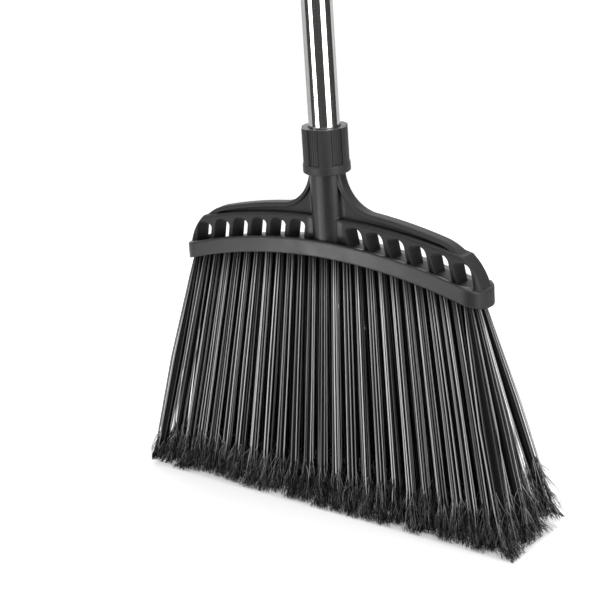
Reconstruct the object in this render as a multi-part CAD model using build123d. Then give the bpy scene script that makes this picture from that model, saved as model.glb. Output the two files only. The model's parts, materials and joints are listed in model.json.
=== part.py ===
from build123d import *
import os
from math import asin, atan2, cos, degrees, pi, radians, sin, sqrt

# Outdoor broom, in millimetres: the head lies along X with its front to -Y, and stands on its tips at Z = 0.

# Handle tubes
tube_radius = 11.0
tube_wall = 0.6
lower_tube_shown = 210.0
middle_tube_shown = 215.0
upper_tube_shown = 152.0

# Couplings between the tubes
coupling_length = 60.0
coupling_wall = 1.25
coupling_grip_depth = 25.0
coupling_web = 4.0
thread_wall = 2.3
thread_clearance = 0.1
thread_end_gap = 1.0
plug_flange = 3.0
plug_shank_length = 25.0
glue_clearance = 0.05

# End plug of the lower tube
end_plug_flange = 2.0
end_plug_depth = 16.0

# Hang-up grip
grip_length = 122.0
grip_cover_depth = 90.0
grip_top_wall = 2.6
grip_waist_wall = 0.95
grip_bead_wall = 2.45
grip_bead_height = 8.0
grip_bead_rounding = 1.4
grip_flat_thickness = 16.0
grip_flat_length = 25.0
grip_flat_runout = 12.0
hang_hole_radius = 6.5
hang_hole_drop = 15.0

# Bristle tufts
bristle_length = 185.5
tuft_root_radius = 2.7
tuft_tip_radius = 5.2
tuft_sides = 6
tuft_hole_clearance = 0.1
tuft_hole_depth = 5.0
tufts_in_long_row = 25
tuft_end_margin = 11.5
tuft_side_margin = 5.1
tuft_fan_height = 492.0
tip_row_spacing = 19.8
anchor_height = 1.6
anchor_thickness = 0.4
anchor_length = 3.8

# Block that holds the tufts, with the rim along its front and ends
block_length = 259.0
block_depth = 30.0
block_corner_radius = 13.5
block_arch_radius = 425.0
rim_height = 11.6
rim_lip = 2.4
rim_rounding = 1.0
ledge_drop = 4.8

# Rail over the block: a thick base with the vents, and a thin web above it that flares to the neck
rail_setback = 1.6
rail_crown = 34.25
rail_top_radius = 385.0
rail_shoulder_radius = 41.0
rail_flare_radius = 28.6
rail_flare_offset = 0.8
rail_root_depth = 4.0
base_thickness = 16.4
base_rounding = 3.5
web_setback = 2.5
web_thickness = 9.5
web_rounding = 2.0
web_border = 3.2
web_recess = 2.4
vent_zone_recess = 1.6
vent_zone_slope = 40.0
vent_zone_margin = 2.6
vent_zone_ridge = 2.0
vent_zone_rounding = 8.0

# Vents
vents_on_a_side = 6
vent_start = 24.8
vent_end_margin = 15.35
vent_height = 12.1
vent_rise = 9.75
vent_arch_radius = 476.0
vent_pillar = 4.4
vent_lean = 11.0
vent_outer_rounding = 6.0
vent_inner_rounding = 3.0

# Neck, threaded spigot and socket
neck_height = 58.6
neck_step = 0.3
spigot_wall = 1.0
spigot_height = 21.0
socket_clearance = 0.1
socket_depth = 38.0

# Collar nut and the split clamp ring under its flange
collar_height = 31.6
collar_seat_gap = 0.3
collar_clearance = 0.3
collar_wall = 4.0
collar_flange = 4.0
collar_mouth_clearance = 0.5
collar_rim_height = 5.5
collar_rim_proud = 0.2
collar_edge = 0.4
grip_panels = 6
grip_turn = 35.0
grip_recess_angle = 32.5
grip_recess_depth = 1.1
grip_recess_gap = 0.8
grip_ribs = 4
grip_rib_width = 0.7
grip_rib_height = 0.4
clamp_ring_gap = 0.3
clamp_ring_clearance = 0.3
clamp_ring_bore_clearance = 0.1
clamp_ring_slit = 2.0
clamp_ring_taper = 0.5

# Heights above the bristle tips
block_underside = bristle_length
rim_crown = block_underside + rim_height
ledge_crown = rim_crown - ledge_drop
vent_crown = ledge_crown + vent_rise
vent_zone_crown = vent_crown + vent_height / 2 + vent_zone_margin
base_crown = vent_zone_crown + vent_zone_ridge
rail_root = block_underside + rail_root_depth
rail_top = block_underside + rail_crown
neck_top = block_underside + neck_height
spigot_top = neck_top + spigot_height
socket_floor = neck_top - socket_depth
collar_bottom = neck_top + collar_seat_gap
collar_top = collar_bottom + collar_height
collar_ceiling = collar_top - collar_flange
fan_point = block_underside + tuft_fan_height

# Radii that follow from the tube
tube_bore = tube_radius - tube_wall
socket_radius = tube_radius + socket_clearance
spigot_radius = socket_radius + spigot_wall
neck_radius = spigot_radius + neck_step
collar_bore = spigot_radius + collar_clearance
collar_radius = collar_bore + collar_wall
tube_socket_radius = tube_radius + glue_clearance
coupling_radius = tube_socket_radius + coupling_wall
thread_bore = coupling_radius - thread_wall
shank_radius = tube_bore - glue_clearance

# Lengths that follow from the block
rail_length = block_length - 2 * rail_setback
web_length = rail_length - 2 * web_setback

# Patterns
row_names = ["front_bristles", "front_inner_bristles", "rear_inner_bristles", "rear_bristles"]
row_spacing = (block_depth - 2 * tuft_side_margin) / (len(row_names) - 1)
tuft_pitch = (block_length - 2 * tuft_end_margin) / (tufts_in_long_row - 1)
vent_pitch = (rail_length / 2 - vent_end_margin - vent_start) / (vents_on_a_side - 1)
vent_width = vent_pitch - vent_pillar
vent_zone_half = rail_length / 2 - vent_end_margin + vent_width / 2 + vent_zone_margin


def arch_height(x, crown, radius):
    """Height at x of an arch with its crown over the middle of the head."""
    return crown - radius + sqrt(radius**2 - x**2)


def arched_slab(depth, crown, radius, height):
    """Slab as long as the block under an arch of that crown and radius, its flat bottom that much lower."""
    half = block_length / 2
    end = arch_height(half, crown, radius)
    top = ThreePointArc((-half, 0, end), (0, 0, crown), (half, 0, end))
    bottom = crown - height
    sides = Polyline((half, 0, end), (half, 0, bottom), (-half, 0, bottom), (-half, 0, end))
    return extrude(make_face([top, *sides.edges()]), depth / 2, both=True)


def turned(*outline):
    """Solid of revolution about Z from a closed outline of (radius, height) points."""
    corners = [(radius, 0, height) for radius, height in outline]
    return revolve(make_face(Polyline(*corners, close=True)), Axis.Z)


def circle_arc(centre, radius, start, end):
    """Arc in the head's middle plane between two angles in radians."""
    angles = [start, (start + end) / 2, end]
    points = [(centre[0] + radius * cos(a), 0, centre[1] + radius * sin(a)) for a in angles]
    return ThreePointArc(*points)


def rail_prism(length, border, depth):
    """Slab of the rail's outline drawn in by border: flares beside the neck, long top arc and shoulders."""
    top_centre = (0, rail_top - rail_top_radius)
    flare_x = neck_radius + rail_flare_offset + rail_flare_radius
    flare_rise = sqrt((rail_top_radius + rail_flare_radius) ** 2 - flare_x**2)
    flare_centre = (flare_x, top_centre[1] + flare_rise)
    flare_end = atan2(flare_rise, flare_x)
    shoulder_x = length / 2 - rail_shoulder_radius
    shoulder_rise = sqrt((rail_top_radius - rail_shoulder_radius) ** 2 - shoulder_x**2)
    shoulder_centre = (shoulder_x, top_centre[1] + shoulder_rise)
    shoulder_start = atan2(shoulder_rise, shoulder_x)
    flare_top = min(neck_top, flare_centre[1])
    flare_start = asin((flare_centre[1] - flare_top) / (rail_flare_radius + border))
    flare = circle_arc(flare_centre, rail_flare_radius + border, pi + flare_start, pi + flare_end)
    top = circle_arc(top_centre, rail_top_radius - border, flare_end, shoulder_start)
    shoulder = circle_arc(shoulder_centre, rail_shoulder_radius - border, shoulder_start, 0)
    foot = ((shoulder @ 1).X, 0, 0)
    sides = Polyline(shoulder @ 1, foot, (0, 0, 0), (0, 0, flare_top), flare @ 0)
    half = extrude(make_face([flare, top, shoulder, *sides.edges()]), depth / 2, both=True)
    return half + mirror(half, Plane.YZ)


def rounded_outline(slab, radius):
    """A slab with the edges round both of its faces rounded."""
    return fillet(slab.edges().filter_by(GeomType.CIRCLE) + slab.edges().filter_by(Axis.Z), radius)


def vent(number):
    """Cutter for one vent on the right: larger top corner outside, leaning out, its foot in the block."""
    x = vent_start + number * vent_pitch
    lean = radians(vent_lean)
    place = Plane(
        origin=(x, 0, arch_height(x, vent_crown, vent_arch_radius)),
        x_dir=(cos(lean), 0, sin(lean)),
        z_dir=(0, -1, 0),
    )
    shape = Pos(0, -vent_height / 2) * Rectangle(vent_width, 2 * vent_height)
    upper = shape.vertices().sort_by(Axis.Y)[-2:]
    shape = fillet(upper.sort_by(Axis.X)[-1], vent_outer_rounding)
    upper = shape.vertices().sort_by(Axis.Y)[-2:]
    shape = fillet(upper.sort_by(Axis.X)[0], vent_inner_rounding)
    return extrude(place * shape, base_thickness, both=True)


def vent_zone():
    """Cutters for the strip along the vents on both faces, widening outwards."""
    core = base_thickness - 2 * vent_zone_recess
    strip = arched_slab(core, vent_zone_crown, vent_arch_radius, vent_zone_crown)
    strip &= Box(2 * vent_zone_half, 2 * core, 4 * rail_top)
    ends = strip.edges().filter_by(Axis.Y).group_by(Axis.Z)[-1]
    strip = fillet(ends, vent_zone_rounding)
    front = extrude(strip.faces().sort_by(Axis.Y)[0], base_thickness, taper=-vent_zone_slope)
    return [front, mirror(front, Plane.XZ)]


def vented_rail():
    """Rail: a thin web with a shallow panel on each face, over a thick base with the vents."""
    web = rounded_outline(rail_prism(web_length, 0, web_thickness), web_rounding)
    panel_core = Box(2 * rail_length, web_thickness - 2 * web_recess, 4 * rail_top)
    web -= rail_prism(web_length, web_border, 2 * web_thickness) - panel_core
    base = arched_slab(2 * base_thickness, base_crown, vent_arch_radius, base_crown)
    base = rounded_outline(base & rail_prism(rail_length, 0, base_thickness), base_rounding)
    vents = [vent(number) for number in range(vents_on_a_side)]
    rail = web + (base - vent_zone()) - vents - [mirror(cutter, Plane.YZ) for cutter in vents]
    return rail - arched_slab(2 * base_thickness, rail_root, block_arch_radius, rail_root)


def block_and_rim():
    """Arched block with rounded ends, with a rim in front of the ledge that is open behind."""
    block = arched_slab(block_depth, rim_crown, block_arch_radius, rim_crown)
    block -= arched_slab(2 * block_depth, block_underside, block_arch_radius, block_underside)
    block = fillet(block.edges().filter_by(Axis.Z), block_corner_radius)
    top = block.faces().filter_by(lambda face: face.normal_at().Z > 0.9)
    block = fillet(top.edges(), rim_rounding)
    tray_plan = RectangleRounded(2 * vent_zone_half, 2 * block_depth, block_corner_radius - rim_lip)
    tray = Pos(0, block_depth / 2 + rim_lip) * extrude(tray_plan, 2 * rim_crown)
    tray -= arched_slab(4 * block_depth, ledge_crown, block_arch_radius, ledge_crown)
    return block - tray


def tuft_places(row):
    """Root and tip centre of each tuft in a row; the two rear rows are half a pitch off the two in front."""
    count = tufts_in_long_row - row // 2
    y = (row - (len(row_names) - 1) / 2) * row_spacing
    places = []
    for number in range(count):
        x = (number - (count - 1) / 2) * tuft_pitch
        height = arch_height(x, block_underside, block_arch_radius)
        root = Vector(x, y, height)
        tip = Vector(x * fan_point / (fan_point - height), y * tip_row_spacing / row_spacing, 0)
        places.append((root, tip))
    return places


def along_tuft(root, tip, distance):
    """Plane across a tuft at a distance from the block's underside, positive towards the tip."""
    direction = (tip - root).normalized()
    return Plane(origin=root + direction * distance, x_dir=(1, 0, 0), z_dir=direction)


def tuft_hole(root, tip):
    """Cutter for the hole that holds one tuft."""
    section = RegularPolygon(tuft_root_radius + tuft_hole_clearance, tuft_sides)
    return extrude(along_tuft(root, tip, -tuft_hole_depth) * section, 2 * tuft_hole_depth)


def tuft(root, tip):
    """One tuft: it widens from its anchor to the tip and is trimmed level with the ground."""
    start = anchor_height - tuft_hole_depth
    length = (tip - root).length
    slope = (tuft_tip_radius - tuft_root_radius) / length
    section = along_tuft(root, tip, start) * RegularPolygon(tuft_root_radius + slope * start, tuft_sides)
    bundle = extrude(section, length - start + tuft_tip_radius, taper=-degrees(atan2(slope, 1)))
    return split(bundle, Plane.XY, keep=Keep.TOP)


def tuft_anchor(root, tip):
    """Flat wire staple on the floor of a tuft's hole."""
    wire = Box(
        anchor_length,
        anchor_thickness,
        anchor_height,
        align=(Align.CENTER, Align.CENTER, Align.MIN),
    )
    return along_tuft(root, tip, -tuft_hole_depth) * wire


def head_body():
    """The whole head moulding: block, rail, neck with its spigot, socket and tuft holes."""
    neck = turned(
        (0, rail_root),
        (neck_radius, rail_root),
        (neck_radius, neck_top),
        (spigot_radius, neck_top),
        (spigot_radius, spigot_top),
        (0, spigot_top),
    )
    socket = turned(
        (0, socket_floor), (socket_radius, socket_floor), (socket_radius, 2 * spigot_top), (0, 2 * spigot_top)
    )
    body = block_and_rim() + vented_rail() + neck - socket
    holes = [tuft_hole(*place) for row in range(len(row_names)) for place in tuft_places(row)]
    return body - holes


def collar_nut():
    """Nut over the spigot: plain rim below, raised panels above with finely ribbed recesses between them."""
    rim_radius = collar_radius + collar_rim_proud
    rim_top = collar_bottom + collar_rim_height
    mouth = tube_radius + collar_mouth_clearance
    nut = turned(
        (collar_bore, collar_bottom),
        (rim_radius - collar_edge, collar_bottom),
        (rim_radius, collar_bottom + collar_edge),
        (rim_radius, rim_top - collar_rim_proud),
        (collar_radius, rim_top),
        (collar_radius, collar_top - collar_edge),
        (collar_radius - collar_edge, collar_top),
        (mouth, collar_top),
        (mouth, collar_ceiling),
        (collar_bore, collar_ceiling),
    )
    floor_radius = collar_radius - grip_recess_depth
    half_angle = radians(grip_recess_angle / 2)
    reach = 2 * collar_radius
    wedge = make_face(
        Polyline(
            (0, 0),
            (reach * cos(half_angle), -reach * sin(half_angle)),
            (reach * cos(half_angle), reach * sin(half_angle)),
            close=True,
        )
    )
    recess = (Circle(rim_radius) - Circle(floor_radius)) & wedge
    rib_step = grip_recess_angle / (grip_ribs + 1)
    for number in range(grip_ribs):
        angle = (number + 1) * rib_step - grip_recess_angle / 2
        rib = Rectangle(2 * grip_rib_height, grip_rib_width)
        recess -= Rot(0, 0, angle) * Pos(floor_radius) * rib
    cutter = extrude(recess, collar_height)
    low = rim_top + grip_recess_gap
    for panel in range(grip_panels):
        nut -= Pos(0, 0, low) * Rot(0, 0, grip_turn + panel * 360 / grip_panels) * cutter
    return nut


def clamp_ring():
    """Split ring that the nut's flange squeezes on the tube."""
    outer = collar_bore - clamp_ring_clearance
    inner = tube_radius + clamp_ring_bore_clearance
    top = collar_ceiling - clamp_ring_gap
    ring = turned(
        (inner, spigot_top),
        (outer, spigot_top),
        (outer, top - clamp_ring_taper),
        (outer - clamp_ring_taper, top),
        (inner, top),
    )
    slit = Box(2 * outer, clamp_ring_slit, 4 * top, align=(Align.MIN, Align.CENTER, Align.CENTER))
    return ring - slit


def tube(bottom, top):
    """One thin steel tube of the handle."""
    return turned((tube_bore, bottom), (tube_radius, bottom), (tube_radius, top), (tube_bore, top))


def tube_end_plug():
    """Plug that closes the lower end of the lower tube."""
    shoulder = socket_floor + end_plug_flange
    return turned(
        (0, socket_floor),
        (tube_radius, socket_floor),
        (tube_radius, shoulder),
        (shank_radius, shoulder),
        (shank_radius, shoulder + end_plug_depth),
        (0, shoulder + end_plug_depth),
    )


def coupling_sleeve(bottom):
    """Sleeve glued on the top end of a tube, with a threaded mouth for the plug above."""
    top = bottom + coupling_length - plug_flange
    web_bottom = bottom + coupling_grip_depth
    web_top = web_bottom + coupling_web
    return turned(
        (tube_socket_radius, bottom),
        (coupling_radius, bottom),
        (coupling_radius, top),
        (thread_bore, top),
        (thread_bore, web_top),
        (0, web_top),
        (0, web_bottom),
        (tube_socket_radius, web_bottom),
    )


def threaded_plug(sleeve_bottom):
    """Screw plug in the lower end of a tube, with the flange that closes the sleeve below."""
    thread_radius = thread_bore - thread_clearance
    thread_bottom = sleeve_bottom + coupling_grip_depth + coupling_web + thread_end_gap
    flange_top = sleeve_bottom + coupling_length
    flange_bottom = flange_top - plug_flange
    return turned(
        (0, thread_bottom),
        (thread_radius, thread_bottom),
        (thread_radius, flange_bottom),
        (coupling_radius, flange_bottom),
        (coupling_radius, flange_top),
        (shank_radius, flange_top),
        (shank_radius, flange_top + plug_shank_length),
        (0, flange_top + plug_shank_length),
    )


def hang_grip(bottom):
    """End grip: bead at the mouth, waist widening to a domed top, flats and the hanging hole."""
    top = bottom + grip_length
    bead_radius = tube_radius + grip_bead_wall
    waist_radius = tube_radius + grip_waist_wall
    top_radius = tube_radius + grip_top_wall
    dome_base = top - top_radius
    mouth = tube_socket_radius
    ceiling = bottom + grip_cover_depth
    side = Polyline(
        (0, 0, top),
        (0, 0, ceiling),
        (mouth, 0, ceiling),
        (mouth, 0, bottom),
        (bead_radius - grip_bead_rounding, 0, bottom),
        (bead_radius, 0, bottom + grip_bead_rounding),
        (bead_radius, 0, bottom + grip_bead_height - 2 * grip_bead_rounding),
        (waist_radius, 0, bottom + grip_bead_height),
        (top_radius, 0, dome_base),
    )
    dome = circle_arc((0, dome_base), top_radius, 0, pi / 2)
    grip = revolve(make_face([dome, *side.edges()]), Axis.Z)
    flat_y = grip_flat_thickness / 2
    flat_bottom = top - grip_flat_length
    runout_end = (0, flat_y + grip_flat_runout, flat_bottom - grip_flat_runout)
    middle = grip_flat_runout * (1 - cos(pi / 4))
    runout = ThreePointArc(
        (0, flat_y, flat_bottom),
        (0, flat_y + middle, flat_bottom - grip_flat_runout * sin(pi / 4)),
        runout_end,
    )
    edges = Polyline(runout_end, (0, flat_y + grip_flat_runout, 2 * top), (0, flat_y, 2 * top), runout @ 0)
    scoop = extrude(make_face([runout, *edges.edges()]), 2 * top_radius, both=True)
    hole = Pos(0, 0, top - hang_hole_drop) * Rot(90, 0, 0) * Cylinder(hang_hole_radius, 4 * top_radius)
    return grip - [scoop, mirror(scoop, Plane.XZ), hole]


def handle_nodes():
    """Every piece of the handle by its node name, stacked upwards from the socket."""
    sleeve_1 = collar_top + lower_tube_shown
    sleeve_2 = sleeve_1 + coupling_length + middle_tube_shown
    sleeve_3 = sleeve_2 + coupling_length + middle_tube_shown
    grip_bottom = sleeve_3 + coupling_length + upper_tube_shown
    nodes = {
        "tube_end_plug": tube_end_plug(),
        "lower_tube": tube(socket_floor + end_plug_flange, sleeve_1 + coupling_grip_depth),
        "lower_middle_tube": tube(sleeve_1 + coupling_length, sleeve_2 + coupling_grip_depth),
        "upper_middle_tube": tube(sleeve_2 + coupling_length, sleeve_3 + coupling_grip_depth),
        "upper_tube": tube(sleeve_3 + coupling_length, grip_bottom + grip_cover_depth),
        "hang_grip": hang_grip(grip_bottom),
    }
    for number, bottom in enumerate([sleeve_1, sleeve_2, sleeve_3], start=1):
        nodes[f"coupling_sleeve_{number}"] = coupling_sleeve(bottom)
        nodes[f"threaded_plug_{number}"] = threaded_plug(bottom)
    return nodes


def head_nodes():
    """Every piece of the head by its node name."""
    nodes = {"head_body": head_body(), "collar_nut": collar_nut(), "clamp_ring": clamp_ring()}
    anchors = []
    for row, name in enumerate(row_names):
        places = tuft_places(row)
        nodes[name] = Compound([tuft(*place).solid() for place in places])
        anchors += [tuft_anchor(*place).solid() for place in places]
    nodes["tuft_anchors"] = Compound(anchors)
    return nodes


os.makedirs("parts", exist_ok=True)
for name, piece in {**head_nodes(), **handle_nodes()}.items():
    export_step(piece, f"parts/{name}.step")
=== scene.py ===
# Outdoor broom: materials, loose bristles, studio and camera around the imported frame, in metres.
import json
from math import cos, pi, radians, sin

import bpy
import numpy as np
from mathutils import Matrix, Vector


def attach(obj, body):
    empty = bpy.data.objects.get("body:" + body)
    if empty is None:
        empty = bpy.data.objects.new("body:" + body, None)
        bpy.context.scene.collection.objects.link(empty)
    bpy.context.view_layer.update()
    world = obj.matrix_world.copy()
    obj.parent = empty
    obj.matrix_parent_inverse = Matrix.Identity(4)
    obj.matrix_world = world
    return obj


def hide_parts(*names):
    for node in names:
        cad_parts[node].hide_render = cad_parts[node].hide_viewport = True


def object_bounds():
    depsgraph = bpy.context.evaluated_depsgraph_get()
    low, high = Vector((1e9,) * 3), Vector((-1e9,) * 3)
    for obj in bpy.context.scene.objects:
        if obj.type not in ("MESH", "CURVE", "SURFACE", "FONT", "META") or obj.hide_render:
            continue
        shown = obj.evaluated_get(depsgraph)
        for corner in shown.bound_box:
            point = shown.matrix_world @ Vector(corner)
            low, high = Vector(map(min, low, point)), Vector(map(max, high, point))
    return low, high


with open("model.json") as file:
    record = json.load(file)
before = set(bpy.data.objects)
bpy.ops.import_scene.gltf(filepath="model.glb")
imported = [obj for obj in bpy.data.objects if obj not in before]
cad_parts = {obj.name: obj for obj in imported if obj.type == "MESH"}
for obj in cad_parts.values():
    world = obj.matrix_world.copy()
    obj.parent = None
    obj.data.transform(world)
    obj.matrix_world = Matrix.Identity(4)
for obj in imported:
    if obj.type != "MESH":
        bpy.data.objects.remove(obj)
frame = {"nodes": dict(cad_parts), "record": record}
cad_low, cad_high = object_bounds()
nodes = frame["nodes"]
millimetre = 0.001

# Camera: turned round the handle from the head's front, tilted down and rolled, as fitted to the photograph
camera_turn = radians(39.04)
camera_tilt = radians(19.0)
camera_roll = radians(3.96)
camera_distance = 1.20433
camera_sideways = -0.02165
camera_upwards = -0.04773
camera_aim_height = 0.2
camera_lens_mm = 103.36
camera_sensor_mm = 36

# Moulded plastics: the grain, scuffs and uneven sheen that they share, then the look of each
plastic_gloss = 0.4
sheen_noise = {"scale": 45, "detail": 4}
sheen_range = (0.3, 0.7)
sheen_swing = 0.07
scuff_noise = {"scale": 420, "detail": 3, "stretch": (1, 1, 0.25)}
scuff_range = (0.62, 0.8)
grain_noise = {"scale": 2600, "detail": 2}
grain_height = 0.2 * millimetre
edge_samples = 8
black = (0.012, 0.012, 0.0125)
worn = (0.02, 0.02, 0.02)
plastics = {
    "head_plastic": {
        "colour": black,
        "scuffed": worn,
        "rough": 0.37,
        "grain": 0.12,
        "edge_radius": 1.6 * millimetre,
        "deep": True,
    },
    "collar_plastic": {
        "colour": black,
        "scuffed": worn,
        "rough": 0.5,
        "grain": 0.12,
        "edge_radius": 0.6 * millimetre,
    },
    "grip_plastic": {
        "colour": (0.010, 0.010, 0.0105),
        "scuffed": (0.016, 0.016, 0.016),
        "rough": 0.22,
        "grain": 0.04,
        "edge_radius": 0.6 * millimetre,
    },
    "inner_plastic": {
        "colour": (0.03, 0.03, 0.031),
        "scuffed": (0.04, 0.04, 0.04),
        "rough": 0.5,
        "grain": 0.1,
        "edge_radius": 0.6 * millimetre,
    },
}

# Head: recessed panels that are rougher than its neck and its band, and painted shade that darkens its
# hollows
panel_start = 14 * millimetre
panel_depth = 10.5 * millimetre
panel_blend = 2 * millimetre
panel_roughness = 0.62
# Painted shade: ambient occlusion darkens the hollows to this colour and takes away their gloss
hollow_reach = 14 * millimetre
hollow_range = (0.22, 0.5)
painted_hollow_shade = (0.004, 0.004, 0.004)
hollow_shade_gloss = 0.08
hollow_samples = 12

# Steel of the tubes and of the tuft anchors
tube_line_noise = {"scale": 900, "detail": 3, "stretch": (1, 1, 0.012)}
tube_line_range = (0.3, 0.7)
tube_line_bump = {"strength": 0.03, "distance": 0.1 * millimetre}
tube_smudge_noise = {"scale": 22, "detail": 3}
tube_colours = ((0.80, 0.79, 0.77), (0.86, 0.855, 0.84))
tube_roughness = (0.03, 0.11)
wire_noise = {"scale": 1500, "detail": 3, "stretch": (0.05, 1, 1)}
wire_colours = ((0.45, 0.44, 0.43), (0.66, 0.65, 0.64))
wire_roughness = (0.25, 0.45)

# Bristle fibre: darkest and palest colours, the palest being painted glints on the black fibre, and the
# shares of the length where the painted shade at the roots ends and where tips begin
shaft_glint_colours = ((0.003, 0.003, 0.0032), (0.66, 0.66, 0.665))
frayed_glint_colours = ((0.004, 0.004, 0.004), (0.24, 0.24, 0.24))
# Painted shade: the filaments darken to this colour near their roots
root_shade_colour = (0.004, 0.004, 0.004)
root_shade_range = (0.02, 0.16)
tip_range = (0.82, 0.95)
fibre_roughness = (0.3, 0.7)
fibre_gloss = (0.1, 0.8)

# Tufts: a ring of filaments round a dark core; stations are shares of the length, from root to tip
bristle_seed = 7
point_digits = 6
tuft_end_band = 2.5 * millimetre
box_margin = 0.05 * millimetre
sideways = (1, 1, 0)
ring_filaments = 8
ring_scatter = 0.08
core_sides = 8
core_share = 0.7
filament_radius = 0.42 * millimetre
filament_sides = 6
filament_stations = np.array([0.0, 0.12, 0.5, 0.84, 0.93, 1.0])
filament_taper = np.array([1.0, 1.0, 1.0, 0.95, 0.7, 0.35])
filament_flare = np.array([0.0, 0.0, 0.0, 0.0, 0.35, 1.0])
core_taper = np.array([1.0, 1.0, 1.0, 1.0, 0.6, 0.15])
tip_flare = (5.0 * millimetre, 5.0 * millimetre, 0.0)
filament_bow = 0.4 * millimetre
outer_bundle = {"tip_radius": 3.2 * millimetre, "bulge": 0.0}
inner_bundle = {"tip_radius": 5.6 * millimetre, "bulge": 2.3 * millimetre}
end_bundle = {"tip_radius": 5.0 * millimetre, "bulge": 2.2 * millimetre}
end_tuft_lean = 0.8 * millimetre
tip_scatter = 0.4 * millimetre
tip_trim = 2.5 * millimetre
tip_trim_power = 2
tuft_unevenness = 4.5 * millimetre
tuft_unevenness_power = 1.5
# Painted glints and shade: pale filaments on the front and rear rows stand for glints, while the inner rows
# stay near black as painted shade
row_tones = {
    "front": (0.05, 1.0),
    "front_inner": (0.0, 0.04),
    "rear_inner": (0.0, 0.04),
    "rear": (0.05, 0.8),
}
# Painted glints on the end tufts
end_tones = (0.05, 0.9)
tone_power = 1.4

# Flags: the split ends of the filaments; the end tufts, left -1 and right 1, have theirs lower and higher
flags_on_tuft = 330
flag_sides = 3
flag_stations = np.array([0.0, 0.35, 0.7, 1.0])
flag_start = (4 * millimetre, 33 * millimetre)
flag_start_power = 1.5
flag_length = (8 * millimetre, 26 * millimetre)
flag_spread = (6.5 * millimetre, 8.5 * millimetre, 1.5 * millimetre)
flag_curl = (0.8 * millimetre, 0.8 * millimetre, 0.32 * millimetre)
flag_root_radius = 0.2 * millimetre
flag_tip_radius = 0.11 * millimetre
# Painted glints: a few pale flags among the dark ones
flag_tone_power = 4
end_flag_heights = {-1: -8 * millimetre, 0: 0.0, 1: 14 * millimetre}
end_flag_reach = 4.5 * millimetre

# Threads: the plugs' groove over one turn, and the ridge on the spigot
thread_pitch = 4.0 * millimetre
thread_depth = 1.1 * millimetre
thread_step = 0.3 * millimetre
thread_lead = 2.0 * millimetre
thread_sides = 48
groove_turns = [0, 0.22, 0.45, 0.78, 1]
groove_depths = [0, 0, 1, 1, 0]
axis_gap = 0.02 * millimetre
ridge_pitch = 3.0 * millimetre
ridge_turns = 6
ridge_steps = 48
ridge_width = 1.4 * millimetre
ridge_proud = 0.22 * millimetre
ridge_root = 0.1 * millimetre
ridge_end_gap = 1.5 * millimetre
ridge_fade_turns = 0.25

# Studio: spans are angles round the handle, in degrees from the camera's side, positive to its right
white = (1.0, 1.0, 1.0)
paper_roughness = 0.9
sky_strength = 0.1
floor_size = 14.0
floor_gap = 0.2 * millimetre
floor_colour = (0.86, 0.86, 0.86)
floor_lift = (0.44, 0.94)
floor_lift_reach = (0.4, 2.6)
softbox_distance = 1.0
softboxes = {
    "left_low": {"span": (-63, -40), "heights": (0.02, 0.3), "radiance": 5.0},
    "right_low": {"span": (22, 55), "heights": (0.02, 0.3), "radiance": 3.4},
    "left_key": {"span": (-90, -64), "heights": (0.31, 0.85), "radiance": 3.7},
    "right_fill": {"span": (15, 60), "heights": (0.31, 1.2), "radiance": 4.5},
    "back_fill": {"span": (145, 215), "heights": (0.31, 1.2), "radiance": 1.4},
    "near_low": {"span": (-80, -69), "heights": (0.005, 0.085), "radiance": 13.0, "distance": 0.5},
}
top_light = {
    "place": (0.0, 0.6, 2.2),
    "target": (0.0, 0.0, 0.2),
    "width": 1.6,
    "height": 1.2,
    "radiance": 3.0,
}
dark_shade = 0.045
card_lift = 1 * millimetre
card_height = 1.7
card_distance = 1.1
standing_cards = {
    "left_flag": {"span": (-96, -63), "shade": dark_shade},
    "right_flag": {"span": (55, 112), "shade": dark_shade},
    "left_back": {"span": (-150, -96), "shade": 0.62},
    "right_back": {"span": (112, 150), "shade": 0.85},
}
front_card = {"span": (-39, 21), "reach": (0.45, 4.0), "shade": dark_shade}
single_quad = np.array([[0, 1, 2, 3]])


def new_material(name):
    """Node material with its tree and its Principled shader."""
    material = bpy.data.materials.new(name)
    material.use_nodes = True
    tree = material.node_tree
    return material, tree, tree.nodes["Principled BSDF"]


def noise(tree, scale, detail, stretch=(1, 1, 1)):
    """Noise over the object's own coordinates; stretch multiplies the scale along each axis."""
    place = tree.nodes.new("ShaderNodeTexCoord")
    mapping = tree.nodes.new("ShaderNodeMapping")
    mapping.inputs["Scale"].default_value = stretch
    texture = tree.nodes.new("ShaderNodeTexNoise")
    texture.inputs["Scale"].default_value = scale
    texture.inputs["Detail"].default_value = detail
    tree.links.new(place.outputs["Object"], mapping.inputs["Vector"])
    tree.links.new(mapping.outputs["Vector"], texture.inputs["Vector"])
    return texture.outputs["Fac"]


def ranged(tree, value, low, high, start=0.0, end=1.0):
    """Number from low to high, for a value socket that goes from start to end."""
    node = tree.nodes.new("ShaderNodeMapRange")
    node.inputs["From Min"].default_value = start
    node.inputs["From Max"].default_value = end
    node.inputs["To Min"].default_value = low
    node.inputs["To Max"].default_value = high
    tree.links.new(value, node.inputs["Value"])
    return node.outputs["Result"]


def calculated(tree, operation, *values):
    """Result of one operation on value sockets."""
    node = tree.nodes.new("ShaderNodeMath")
    node.operation = operation
    for value, socket in zip(values, node.inputs):
        tree.links.new(value, socket)
    return node.outputs[0]


def blended(tree, factor, first, second):
    """Colour mixed from two colours, each a colour or a socket, by a factor socket."""
    node = tree.nodes.new("ShaderNodeMix")
    node.data_type = "RGBA"
    tree.links.new(factor, node.inputs["Factor"])
    # The sockets for colours come after those for numbers and vectors, under the same names.
    first_socket, second_socket = node.inputs[6], node.inputs[7]
    for colour, socket in ((first, first_socket), (second, second_socket)):
        if isinstance(colour, tuple):
            socket.default_value = (*colour, 1.0)
        else:
            tree.links.new(colour, socket)
    return node.outputs[2]


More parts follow.
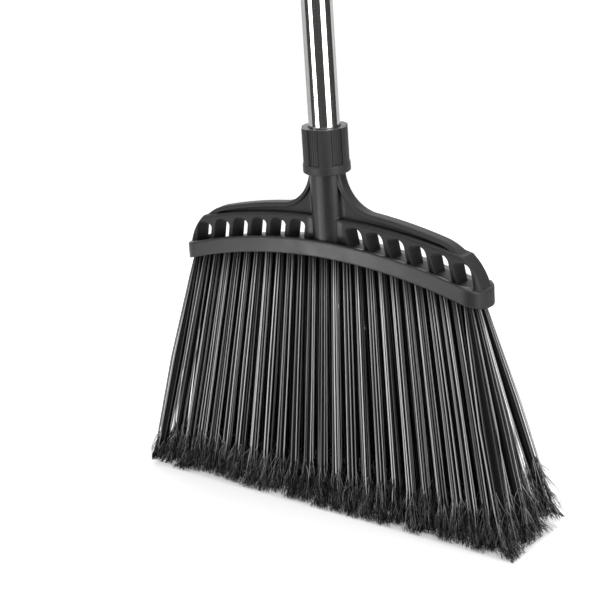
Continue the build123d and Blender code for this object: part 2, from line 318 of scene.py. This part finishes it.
def bumped(tree, height, strength, distance, base=None):
    """Normal that is bumped by a height socket, over another bump if one is given."""
    node = tree.nodes.new("ShaderNodeBump")
    node.inputs["Strength"].default_value = strength
    node.inputs["Distance"].default_value = distance
    tree.links.new(height, node.inputs["Height"])
    if base is not None:
        tree.links.new(base, node.inputs["Normal"])
    return node.outputs["Normal"]


def recessed_panels(tree):
    """1 on the head's recessed side panels and 0 on its neck and its band."""
    place = tree.nodes.new("ShaderNodeTexCoord")
    parts = tree.nodes.new("ShaderNodeSeparateXYZ")
    tree.links.new(place.outputs["Object"], parts.inputs["Vector"])
    limits = {
        "X": (panel_start, panel_start + panel_blend),
        "Y": (panel_depth, panel_depth - panel_blend),
    }
    shares = []
    for axis, (start, end) in limits.items():
        distance = calculated(tree, "ABSOLUTE", parts.outputs[axis])
        shares.append(ranged(tree, distance, 0, 1, start, end))
    return calculated(tree, "MULTIPLY", *shares)


def unshaded_share(tree):
    """1 on open surfaces and 0 in hollows, where ambient occlusion paints shade in."""
    hollow = tree.nodes.new("ShaderNodeAmbientOcclusion")
    hollow.samples = hollow_samples
    hollow.only_local = True
    hollow.inputs["Distance"].default_value = hollow_reach
    return ranged(tree, hollow.outputs["AO"], 0, 1, *hollow_range)


def moulded_plastic(name, colour, scuffed, rough, grain, edge_radius, deep=False):
    """Satin plastic with grain, uneven sheen and scuffs; deep adds painted shade in hollows and rough
    panels.
    """
    material, tree, shader = new_material(name)
    scuff = ranged(tree, noise(tree, **scuff_noise), 0, 1, *scuff_range)
    surface = blended(tree, scuff, colour, scuffed)
    cloud = noise(tree, **sheen_noise)
    sheen = ranged(tree, cloud, rough - sheen_swing, rough + sheen_swing, *sheen_range)
    shader.inputs["Specular IOR Level"].default_value = plastic_gloss
    if deep:
        # Painted shade: the hollows get a dark colour and less gloss
        unshaded = unshaded_share(tree)
        surface = blended(tree, unshaded, painted_hollow_shade, surface)
        gloss = ranged(tree, unshaded, hollow_shade_gloss, plastic_gloss)
        tree.links.new(gloss, shader.inputs["Specular IOR Level"])
        mixed = tree.nodes.new("ShaderNodeMix")
        mixed.inputs["B"].default_value = panel_roughness
        tree.links.new(recessed_panels(tree), mixed.inputs["Factor"])
        tree.links.new(sheen, mixed.inputs["A"])
        sheen = mixed.outputs["Result"]
    tree.links.new(surface, shader.inputs["Base Color"])
    tree.links.new(sheen, shader.inputs["Roughness"])
    edge = tree.nodes.new("ShaderNodeBevel")
    edge.samples = edge_samples
    edge.inputs["Radius"].default_value = edge_radius
    fine = noise(tree, **grain_noise)
    grained = bumped(tree, fine, grain, grain_height, edge.outputs["Normal"])
    tree.links.new(grained, shader.inputs["Normal"])
    return material


def polished_steel(name):
    """Mirror-polished tube with faint lengthwise polishing lines."""
    material, tree, shader = new_material(name)
    lines = noise(tree, **tube_line_noise)
    smudge = noise(tree, **tube_smudge_noise)
    shader.inputs["Metallic"].default_value = 1.0
    tree.links.new(blended(tree, smudge, *tube_colours), shader.inputs["Base Color"])
    tree.links.new(ranged(tree, lines, *tube_roughness, *tube_line_range), shader.inputs["Roughness"])
    tree.links.new(bumped(tree, lines, **tube_line_bump), shader.inputs["Normal"])
    return material


def anchor_wire(name):
    """Drawn steel wire."""
    material, tree, shader = new_material(name)
    lines = noise(tree, **wire_noise)
    shader.inputs["Metallic"].default_value = 1.0
    tree.links.new(blended(tree, lines, *wire_colours), shader.inputs["Base Color"])
    tree.links.new(ranged(tree, lines, *wire_roughness), shader.inputs["Roughness"])
    return material


def attribute(tree, name):
    """Number stored on the mesh under that name."""
    node = tree.nodes.new("ShaderNodeAttribute")
    node.attribute_name = name
    return node.outputs["Fac"]


def bristle_fibre(name):
    """Filaments from black to pale by their painted glints, darkened at the root by painted shade and
    duller at the frayed tip.
    """
    material, tree, shader = new_material(name)
    tone = attribute(tree, "tone")
    along = attribute(tree, "along")
    # Painted glints: pale filaments stand for glints on glossy black fibre, weaker on the frayed tip
    shaft = blended(tree, tone, *shaft_glint_colours)
    # Painted shade near the roots
    shaft = blended(tree, ranged(tree, along, 0, 1, *root_shade_range), root_shade_colour, shaft)
    tip = ranged(tree, along, 0, 1, *tip_range)
    frayed = blended(tree, tone, *frayed_glint_colours)
    tree.links.new(blended(tree, tip, shaft, frayed), shader.inputs["Base Color"])
    tree.links.new(ranged(tree, tip, *fibre_roughness), shader.inputs["Roughness"])
    tree.links.new(ranged(tree, tone, *fibre_gloss), shader.inputs["Specular IOR Level"])
    return material


def connected_parts(points, triangles):
    """Label for each point: points joined by triangles share one."""
    labels = np.arange(len(points))
    while True:
        smallest = labels[triangles].min(axis=1)
        changed = labels.copy()
        for corner in range(3):
            np.minimum.at(changed, triangles[:, corner], smallest)
        if (changed == labels).all():
            return labels
        labels = changed


def node_points(node):
    """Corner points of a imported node."""
    points = np.zeros(len(node.data.vertices) * 3)
    node.data.vertices.foreach_get("co", points)
    return points.reshape(-1, 3)


def tuft_axes(node):
    """Root centre, tip centre and root radius of each tuft in a packed bristle node, from left to right."""
    mesh = node.data
    mesh.calc_loop_triangles()
    triangles = np.zeros(len(mesh.loop_triangles) * 3, dtype=int)
    mesh.loop_triangles.foreach_get("vertices", triangles)
    whole, index = np.unique(node_points(node).round(point_digits), axis=0, return_inverse=True)
    labels = connected_parts(whole, index.reshape(-1)[triangles].reshape(-1, 3))
    axes = []
    for label in np.unique(labels):
        corners = whole[labels == label]
        upper = corners[corners[:, 2] > corners[:, 2].max() - tuft_end_band]
        lower = corners[corners[:, 2] < corners[:, 2].min() + tuft_end_band]
        root = upper.mean(axis=0)
        root_radius = np.linalg.norm(upper - root, axis=1).mean()
        axes.append((root, lower.mean(axis=0), root_radius))
    return sorted(axes, key=lambda axis: axis[0][0])


def ring_quads(rows, sides):
    """Quads between rows of rings, whose points are numbered ring by ring."""
    row = np.arange(rows - 1)[:, None] * sides
    side = np.arange(sides)
    beside = (side + 1) % sides
    corners = [row + side, row + beside, row + sides + beside, row + sides + side]
    return np.stack(corners, axis=-1).reshape(-1, 4)


def strands(lines, radii, sides, turn):
    """Points and quads of thin strands; lines is strands by stations by 3, and turn a number a strand."""
    count, stations = lines.shape[:2]
    radii = np.broadcast_to(radii, (count, stations))
    heading = lines[:, -1] - lines[:, 0]
    heading /= np.linalg.norm(heading, axis=1)[:, None]
    first = np.cross(heading, (0.0, 1.0, 0.0))
    first /= np.linalg.norm(first, axis=1)[:, None]
    second = np.cross(heading, first)
    angles = turn[:, None] + np.arange(sides) * 2 * pi / sides
    ring = np.cos(angles)[:, :, None] * first[:, None] + np.sin(angles)[:, :, None] * second[:, None]
    points = lines[:, :, None] + radii[:, :, None, None] * ring[:, None]
    base = np.arange(count)[:, None, None] * stations * sides
    return points.reshape(-1, 3), (base + ring_quads(stations, sides)).reshape(-1, 4)


def tuft_strands(axis, outward, bundle, chance):
    """Lines of one tuft's filaments, flags and core, where the flags start, and the core's radii."""
    root, tip, root_radius = axis
    count = ring_filaments
    turn = np.arange(count) * 2 * pi / count + chance.uniform(0, 2 * pi)
    turn += chance.normal(0, ring_scatter, count)
    offset = np.stack([np.cos(turn), np.sin(turn), np.zeros(count)], axis=-1)
    start = root + offset * (root_radius - filament_radius)
    end = tip + offset * bundle["tip_radius"] + chance.normal(0, tip_scatter, (count, 3)) * sideways
    end[:, 0] += outward * end_tuft_lean
    lowest = chance.uniform(0, 1) ** tuft_unevenness_power * tuft_unevenness
    end[:, 2] = lowest + chance.uniform(0, 1, count) ** tip_trim_power * tip_trim
    share = filament_stations[None, :, None]
    shafts = start[:, None] * (1 - share) + end[:, None] * share
    bow = chance.normal(0, filament_bow, (count, 3)) * sideways + offset * bundle["bulge"]
    shafts += bow[:, None] * np.sin(share * pi)
    core = shafts.mean(axis=0)
    core_radii = core_share * core_taper * np.linalg.norm(shafts - core, axis=2).mean(axis=0)
    flare = chance.uniform(-1, 1, (count, 3)) * tip_flare
    shafts += flare[:, None] * filament_flare[None, :, None]

    length = np.linalg.norm(end - start, axis=1)
    owner = np.arange(flags_on_tuft) % count
    total = len(owner)
    lowest_fork, highest_fork = flag_start
    highest_fork += end_flag_heights[outward]
    rise = lowest_fork + (highest_fork - lowest_fork) * chance.uniform(0, 1, total) ** flag_start_power
    fork_share = (1 - rise / length[owner])[:, None]
    fork = start[owner] * (1 - fork_share) + end[owner] * fork_share
    run = chance.uniform(*flag_length, total)[:, None]
    heading = (end - start)[owner] / length[owner][:, None]
    finish = fork + heading * run + chance.uniform(-1, 1, (total, 3)) * flag_spread
    if outward:
        finish[:, 0] += outward * chance.uniform(0, 1, total) * end_flag_reach
    floor = lowest + chance.uniform(0, 1, total) ** tip_trim_power * tip_trim
    finish[:, 2] = np.maximum(finish[:, 2], floor)
    part = flag_stations[None, :, None]
    flags = fork[:, None] * (1 - part) + finish[:, None] * part
    curl = chance.normal(0, 1, (total, 3)) * flag_curl
    flags += curl[:, None] * np.sin(part * pi)
    return {
        "shafts": shafts,
        "flags": flags,
        "flag_shares": fork_share,
        "cores": core[None],
        "core_radii": core_radii[None],
    }


def row_strands(row, chance):
    """Strands of all tufts in a row, with a painted glint value for each filament and flag."""
    axes = tuft_axes(nodes[f"{row}_bristles"])
    tufts = []
    for number, axis in enumerate(axes):
        outward = -1 if number == 0 else 1 if number == len(axes) - 1 else 0
        bundle = end_bundle if outward else inner_bundle if "inner" in row else outer_bundle
        # Outer tufts get painted glints, inner rows painted shade
        darkest, brightest = end_tones if outward else row_tones[row]
        tuft = tuft_strands(axis, outward, bundle, chance)
        steps = (chance.permutation(ring_filaments) + 0.5) / ring_filaments
        tuft["shaft_tones"] = darkest + (brightest - darkest) * steps ** tone_power
        tuft["flag_tones"] = chance.uniform(0, 1, flags_on_tuft) ** flag_tone_power
        tufts.append(tuft)
    return {key: np.concatenate([tuft[key] for tuft in tufts]) for key in tufts[0]}


def bristle_row(row, chance):
    """Loose filaments with split ends in the place of one row of packed tufts."""
    found = row_strands(row, chance)
    shafts, flags, cores = found["shafts"], found["flags"], found["cores"]
    flag_shares = found["flag_shares"]
    shaft_turn = chance.uniform(0, 2 * pi, len(shafts))
    flag_turn = chance.uniform(0, 2 * pi, len(flags))
    core_turn = np.zeros(len(cores))
    shaft_radii = filament_radius * filament_taper
    flag_radii = flag_root_radius + (flag_tip_radius - flag_root_radius) * flag_stations
    flag_along = flag_shares + (1 - flag_shares) * flag_stations
    kinds = [
        (strands(shafts, shaft_radii, filament_sides, shaft_turn), found["shaft_tones"]),
        (strands(flags, flag_radii, flag_sides, flag_turn), found["flag_tones"]),
        (strands(cores, found["core_radii"], core_sides, core_turn), np.zeros(len(cores))),
    ]
    points, quads, tones, count = [], [], [], 0
    for (kind_points, kind_quads), kind_tones in kinds:
        points.append(kind_points)
        quads.append(kind_quads + count)
        tones.append(np.repeat(kind_tones, len(kind_points) // len(kind_tones)))
        count += len(kind_points)
    along = np.concatenate(
        [
            np.repeat(np.tile(filament_stations, len(shafts)), filament_sides),
            np.repeat(flag_along.reshape(-1), flag_sides),
            np.repeat(np.tile(filament_stations, len(cores)), core_sides),
        ]
    )
    low = np.array(cad_low) + box_margin
    high = np.array(cad_high) - box_margin
    points = np.clip(np.concatenate(points), low, high)
    quads = np.concatenate(quads)
    return mesh_piece(f"{row}_filaments", points, quads, tone=np.concatenate(tones), along=along)


def mesh_piece(name, points, quads, **numbers):
    """Smooth mesh object from points and quads, with a number for each point under each given name."""
    mesh = bpy.data.meshes.new(name)
    mesh.vertices.add(len(points))
    mesh.vertices.foreach_set("co", points.astype(np.float32).reshape(-1))
    mesh.loops.add(quads.size)
    mesh.loops.foreach_set("vertex_index", quads.astype(np.int32).reshape(-1))
    mesh.polygons.add(len(quads))
    mesh.polygons.foreach_set("loop_start", np.arange(0, quads.size, 4, dtype=np.int32))
    mesh.update(calc_edges=True)
    mesh.shade_smooth()
    for key, values in numbers.items():
        mesh.attributes.new(key, "FLOAT", "POINT").data.foreach_set("value", values.astype(np.float32))
    piece = bpy.data.objects.new(name, mesh)
    bpy.context.scene.collection.objects.link(piece)
    return piece


def rings(heights, radii):
    """Points of rings round the handle's axis: radii is a number a ring, or rings by sides."""
    angles = np.arange(thread_sides) * 2 * pi / thread_sides
    radii = np.broadcast_to(np.reshape(radii, (len(heights), -1)), (len(heights), thread_sides))
    levels = np.broadcast_to(np.reshape(heights, (-1, 1)), radii.shape)
    return np.stack([radii * np.cos(angles), radii * np.sin(angles), levels], axis=-1)


def turned_piece(name, strips):
    """Piece from strips of rings; the strips meet at sharp edges."""
    points, quads, count = [], [], 0
    for strip in strips:
        rows, sides = strip.shape[:2]
        points.append(strip.reshape(-1, 3))
        quads.append(ring_quads(rows, sides) + count)
        count += rows * sides
    return mesh_piece(name, np.concatenate(points), np.concatenate(quads))


def threaded_plug(number):
    """Screw plug with a real thread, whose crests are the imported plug's plain cylinder."""
    points = node_points(nodes[f"threaded_plug_{number}"])
    reach = np.hypot(points[:, 0], points[:, 1])
    level = points[:, 2]
    bottom, top = level.min(), level.max()
    crest = reach[level < bottom + thread_step].max()
    shank = reach[level > top - thread_step].max()
    flange = reach.max()
    edge = level[reach > flange - thread_step]
    flange_bottom, flange_top = edge.min(), edge.max()
    heights = np.arange(bottom, flange_bottom, thread_step)
    turns = np.arange(thread_sides) / thread_sides
    phase = ((heights - bottom)[:, None] / thread_pitch - turns) % 1
    cut = np.interp(phase, groove_turns, groove_depths)
    lead = np.interp(heights - bottom, [0, thread_lead], [1, 0])[:, None]
    thread = crest - thread_depth * np.maximum(cut, lead)
    core = crest - thread_depth
    strips = [
        rings([bottom, bottom], [axis_gap, core]),
        rings(heights, thread),
        rings([heights[-1], flange_bottom], [core, core]),
        rings([flange_bottom, flange_bottom], [core, flange]),
        rings([flange_bottom, flange_top], [flange, flange]),
        rings([flange_top, flange_top], [flange, shank]),
        rings([flange_top, top], [shank, shank]),
        rings([top, top], [shank, axis_gap]),
    ]
    return turned_piece(f"screw_plug_{number}", strips)


def spigot_ridge():
    """Fine thread ridge on the head's spigot, under the collar nut."""
    points = node_points(nodes["head_body"])
    top = points[:, 2].max()
    radius = np.hypot(points[:, 0], points[:, 1])[points[:, 2] > top - thread_step].max()
    count = ridge_turns * ridge_steps
    turn = np.arange(count + 1) / ridge_steps
    angle = -2 * pi * turn
    height = top - ridge_end_gap - ridge_pitch * turn
    swell = np.minimum(1, np.minimum(turn, ridge_turns - turn) / ridge_fade_turns)
    root = np.full(count + 1, radius - ridge_root)
    crest = radius + ridge_proud * swell
    rows = []
    for across, reach in ((-ridge_width / 2, root), (0, crest), (ridge_width / 2, root)):
        rows.append(np.stack([reach * np.cos(angle), reach * np.sin(angle), height + across], axis=-1))
    low = np.arange(count)[:, None] * 3 + np.arange(2)
    quads = np.stack([low, low + 1, low + 4, low + 3], axis=-1).reshape(-1, 4)
    return mesh_piece("spigot_ridge", np.stack(rows, axis=1).reshape(-1, 3), quads)


def dress(node_name, material):
    """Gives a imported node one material."""
    slots = nodes[node_name].data.materials
    slots.clear()
    slots.append(material)


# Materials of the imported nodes
materials = {name: moulded_plastic(name, **look) for name, look in plastics.items()}
materials["polished_steel"] = polished_steel("polished_steel")
materials["anchor_wire"] = anchor_wire("anchor_wire")
materials["bristle_fibre"] = bristle_fibre("bristle_fibre")
for subpart in frame["record"]["subparts"]:
    dress(subpart["node"], materials[subpart["material_slot"]])
dress("collar_nut", materials["collar_plastic"])

# Threads in place of the plain plugs and on the spigot
for number in (1, 2, 3):
    plug = threaded_plug(number)
    plug.data.materials.append(materials["grip_plastic"])
    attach(plug, f"screw_{number}")
    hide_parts(f"threaded_plug_{number}")
ridge = spigot_ridge()
ridge.data.materials.append(materials["collar_plastic"])
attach(ridge, "head")

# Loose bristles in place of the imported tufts
chance = np.random.default_rng(bristle_seed)
for row in row_tones:
    filaments = bristle_row(row, chance)
    filaments.data.materials.append(materials["bristle_fibre"])
    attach(filaments, "head")
    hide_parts(f"{row}_bristles")


def softbox(name, place, target, width, height, radiance):
    """Rectangular light at a place, facing a target, that reflections show as bright as its radiance."""
    data = bpy.data.lights.new(name, "AREA")
    data.shape = "RECTANGLE"
    data.size = width
    data.size_y = height
    data.energy = radiance * pi * width * height
    lamp = bpy.data.objects.new(name, data)
    bpy.context.scene.collection.objects.link(lamp)
    lamp.visible_camera = False
    lamp.location = place
    lamp.rotation_euler = (Vector(target) - Vector(place)).to_track_quat("-Z", "Y").to_euler()


def around(angle, distance, height):
    """Point at an angle round the handle, a distance from it and a height."""
    towards = Vector((sin(camera_turn), -cos(camera_turn), 0))
    right = Vector((cos(camera_turn), sin(camera_turn), 0))
    flat = cos(radians(angle)) * towards + sin(radians(angle)) * right
    return flat * distance + Vector((0, 0, height))


def standing_softbox(name, span, heights, radiance, distance=softbox_distance):
    """Upright softbox that fills a span of angles round the broom between two heights."""
    first = around(span[0], distance, 0)
    last = around(span[1], distance, 0)
    place = (first + last) / 2 + Vector((0, 0, sum(heights) / 2))
    softbox(name, place, (0, 0, place.z), (last - first).length, heights[1] - heights[0], radiance)


def studio_card(name, corners, shade):
    """Black or grey studio card that only reflections see."""
    card = mesh_piece(name, np.array([tuple(corner) for corner in corners]), single_quad)
    material, _, shader = new_material(name)
    shader.inputs["Base Color"].default_value = (shade, shade, shade, 1.0)
    shader.inputs["Roughness"].default_value = paper_roughness
    card.data.materials.append(material)
    card.visible_camera = False
    card.visible_shadow = False
    card.visible_diffuse = False


def standing_card(name, span, shade):
    """Card that stands on the floor over a span of angles."""
    first, last = span
    corners = [
        around(first, card_distance, card_lift),
        around(last, card_distance, card_lift),
        around(last, card_distance, card_height),
        around(first, card_distance, card_height),
    ]
    studio_card(name, corners, shade)


def lying_card(name, span, reach, shade):
    """Card on the floor over a span of angles and a reach of distances, below the picture."""
    first, last = span
    near, far = reach
    corners = [
        around(first, near, card_lift),
        around(last, near, card_lift),
        around(last, far, card_lift),
        around(first, far, card_lift),
    ]
    studio_card(name, corners, shade)


def background_share(tree):
    """1 for camera, mirror and see-through rays, 0 for the rays that light the object."""
    path = tree.nodes.new("ShaderNodeLightPath")
    share = path.outputs["Is Camera Ray"]
    for kind in ("Is Glossy Ray", "Is Transmission Ray"):
        share = calculated(tree, "MAXIMUM", share, path.outputs[kind])
    return share


def studio_floor():
    """Pale floor that looks white to the camera and keeps the broom's shadow."""
    half = floor_size / 2
    points = np.array([(-half, -half, 0), (half, -half, 0), (half, half, 0), (-half, half, 0)])
    floor = mesh_piece("floor", points, single_quad)
    floor.location.z = cad_low.z - floor_gap
    material, tree, shader = new_material("floor_paper")
    shader.inputs["Base Color"].default_value = (*floor_colour, 1.0)
    shader.inputs["Roughness"].default_value = paper_roughness
    place = tree.nodes.new("ShaderNodeTexCoord")
    away = tree.nodes.new("ShaderNodeVectorMath")
    away.operation = "LENGTH"
    tree.links.new(place.outputs["Object"], away.inputs[0])
    lift = ranged(tree, away.outputs["Value"], *floor_lift, *floor_lift_reach)
    glow = calculated(tree, "MULTIPLY", lift, background_share(tree))
    shader.inputs["Emission Color"].default_value = (*white, 1.0)
    tree.links.new(glow, shader.inputs["Emission Strength"])
    floor.data.materials.append(material)


def studio_sky():
    """White to the camera and in reflections, and a plain soft light for everything else."""
    world = bpy.data.worlds.new("studio")
    world.use_nodes = True
    tree = world.node_tree
    background = tree.nodes["Background"]
    background.inputs["Color"].default_value = (*white, 1.0)
    strength = ranged(tree, background_share(tree), sky_strength, 1.0)
    tree.links.new(strength, background.inputs["Strength"])
    bpy.context.scene.world = world


def place_camera():
    """Camera of the large view in the photograph."""
    across = Vector((cos(camera_turn), sin(camera_turn), 0))
    ahead = Vector(
        (-sin(camera_turn) * cos(camera_tilt), cos(camera_turn) * cos(camera_tilt), -sin(camera_tilt))
    )
    above = across.cross(ahead)
    right = cos(camera_roll) * across - sin(camera_roll) * above
    up = sin(camera_roll) * across + cos(camera_roll) * above
    aim_point = Vector((0, 0, camera_aim_height))
    data = bpy.data.cameras.new("camera")
    data.sensor_width = camera_sensor_mm
    data.lens = camera_lens_mm
    camera = bpy.data.objects.new("camera", data)
    bpy.context.scene.collection.objects.link(camera)
    camera.matrix_world = Matrix((right, up, -ahead)).transposed().to_4x4()
    camera.location = aim_point - camera_distance * ahead + camera_sideways * right + camera_upwards * up
    bpy.context.scene.camera = camera


studio_floor()
studio_sky()
softbox("top", **top_light)
for name, light in softboxes.items():
    standing_softbox(name, **light)
for name, card in standing_cards.items():
    standing_card(name, **card)
lying_card("front_flag", **front_card)
place_camera()
bpy.context.scene.view_settings.view_transform = "Standard"
